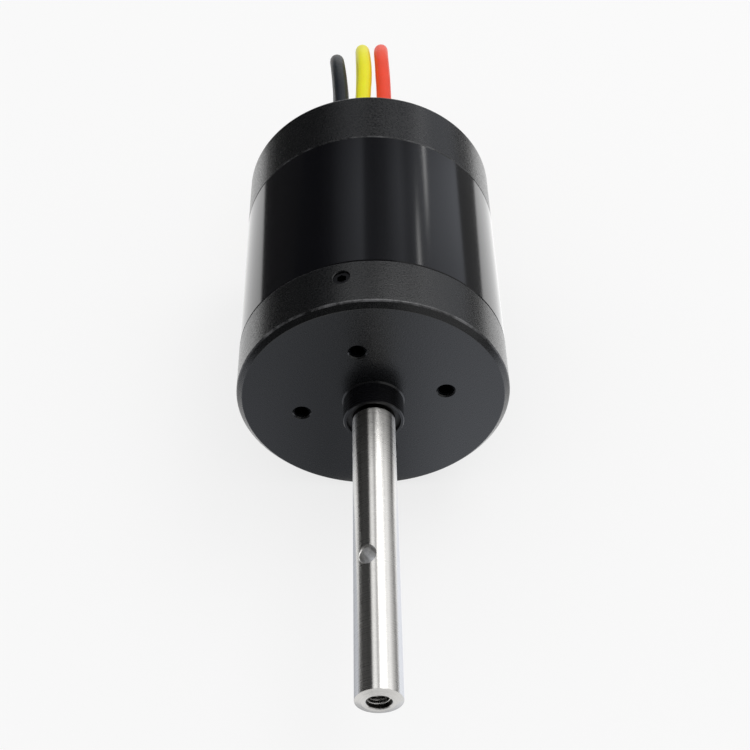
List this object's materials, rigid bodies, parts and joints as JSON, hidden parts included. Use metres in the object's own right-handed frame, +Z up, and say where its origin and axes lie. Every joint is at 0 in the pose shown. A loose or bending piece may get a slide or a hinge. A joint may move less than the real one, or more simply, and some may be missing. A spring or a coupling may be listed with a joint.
{
  "type": "waterproof brushless motor",
  "caption": "Sealed inner-rotor brushless motor: black three-piece can, long steel shaft with cross hole and tapped end, face mounting holes, three colour-coded leads with bullet plugs.",
  "frame": {"origin": "centre of the mounting holes, on the shaft line in the plane of the mounting face", "axes": "the shaft points along -Y and the body runs along +Y; +Z is up, on the side of the leads, with the motor lying on its side; +X is to the right when looking at the body from the shaft end"},
  "size_m": [0.0674, 0.2186, 0.065],
  "materials": {
    "matte_black_anodised": "bead-blasted aluminium, black anodised, satin",
    "gloss_black_anodised": "turned aluminium, black anodised, glossy",
    "black_collar": "turned aluminium, black anodised, glossy",
    "stainless": "ground stainless steel, polished along its turning marks",
    "bearing_steel": "hardened and ground bearing steel",
    "black_steel": "black oxide steel",
    "spring_steel": "spring steel, oiled",
    "electrical_steel": "stacked electrical steel sheets, varnished",
    "magnet_nickel": "sintered magnets, nickel plated",
    "carbon_band": "wound carbon fibre band",
    "brass": "turned brass",
    "copper_enamel": "enamelled copper wire",
    "insulator_plastic": "moulded glass-filled nylon, natural",
    "cage_plastic": "moulded nylon",
    "soldering_board": "glass-epoxy board",
    "black_rubber": "moulded nitrile rubber",
    "silicone_black": "soft silicone lead jacket, black",
    "silicone_yellow": "soft silicone lead jacket, yellow",
    "silicone_red": "soft silicone lead jacket, red",
    "gold_plate": "gold-plated brass",
    "shrink_black": "shrunk polyolefin sleeve"
  },
  "bodies": {
    "housing": {"bullet_black": "gold_plate", "bullet_red": "gold_plate", "bullet_yellow": "gold_plate", "cap_set_screws": "black_steel", "front_bearing_outer_ring": "bearing_steel", "front_bearing_shields": "black_rubber", "front_cap": "matte_black_anodised", "front_insulator": "insulator_plastic", "front_o_ring": "black_rubber", "housing_tube": "gloss_black_anodised", "inner_lead_black": "silicone_black", "inner_lead_red": "silicone_red", "inner_lead_yellow": "silicone_yellow", "lead_black": "silicone_black", "lead_gland": "black_rubber", "lead_red": "silicone_red", "lead_yellow": "silicone_yellow", "nose_sleeve": "black_collar", "nose_wiper": "black_rubber", "phase_a_coils": "copper_enamel", "phase_b_coils": "copper_enamel", "phase_c_coils": "copper_enamel", "preload_washer": "spring_steel", "rear_bearing_outer_ring": "bearing_steel", "rear_bearing_shields": "black_rubber", "rear_cap": "matte_black_anodised", "rear_insulator": "insulator_plastic", "rear_o_ring": "black_rubber", "shaft_seal_case": "spring_steel", "shaft_seal_lip": "black_rubber", "shaft_seal_spring": "spring_steel", "shrink_sleeve_black": "shrink_black", "shrink_sleeve_red": "shrink_black", "shrink_sleeve_yellow": "shrink_black", "stator_core": "electrical_steel", "terminal_ring": "soldering_board", "tie_bolt_seals": "black_rubber", "tie_bolts": "black_steel"},
    "rotor": {"front_balance_ring": "brass", "front_bearing_inner_ring": "bearing_steel", "rear_balance_ring": "brass", "rear_bearing_inner_ring": "bearing_steel", "rear_circlip": "spring_steel", "rotor_band": "carbon_band", "rotor_core": "electrical_steel", "rotor_magnets_north": "magnet_nickel", "rotor_magnets_south": "magnet_nickel", "shaft": "stainless"},
    "front_ball_set": {"front_bearing_balls": "bearing_steel", "front_bearing_cage": "cage_plastic"},
    "rear_ball_set": {"rear_bearing_balls": "bearing_steel", "rear_bearing_cage": "cage_plastic"}
  },
  "joints": [
    {"name": "rotor_spin", "type": "hinge", "parent": "housing", "child": "rotor", "pos_m": [0, 0, 0], "axis": [0, -1, 0], "continuous": true},
    {"name": "front_ball_spin", "type": "hinge", "parent": "housing", "child": "front_ball_set", "pos_m": [0, 0.0105, 0], "axis": [0, -1, 0], "continuous": true},
    {"name": "rear_ball_spin", "type": "hinge", "parent": "housing", "child": "rear_ball_set", "pos_m": [0, 0.065, 0], "axis": [0, -1, 0], "continuous": true}
  ],
  "couplings": [
    {"joint": "front_ball_spin", "follows": "rotor_spin", "ratio": 0.36778},
    {"joint": "rear_ball_spin", "follows": "rotor_spin", "ratio": 0.36778}
  ]
}
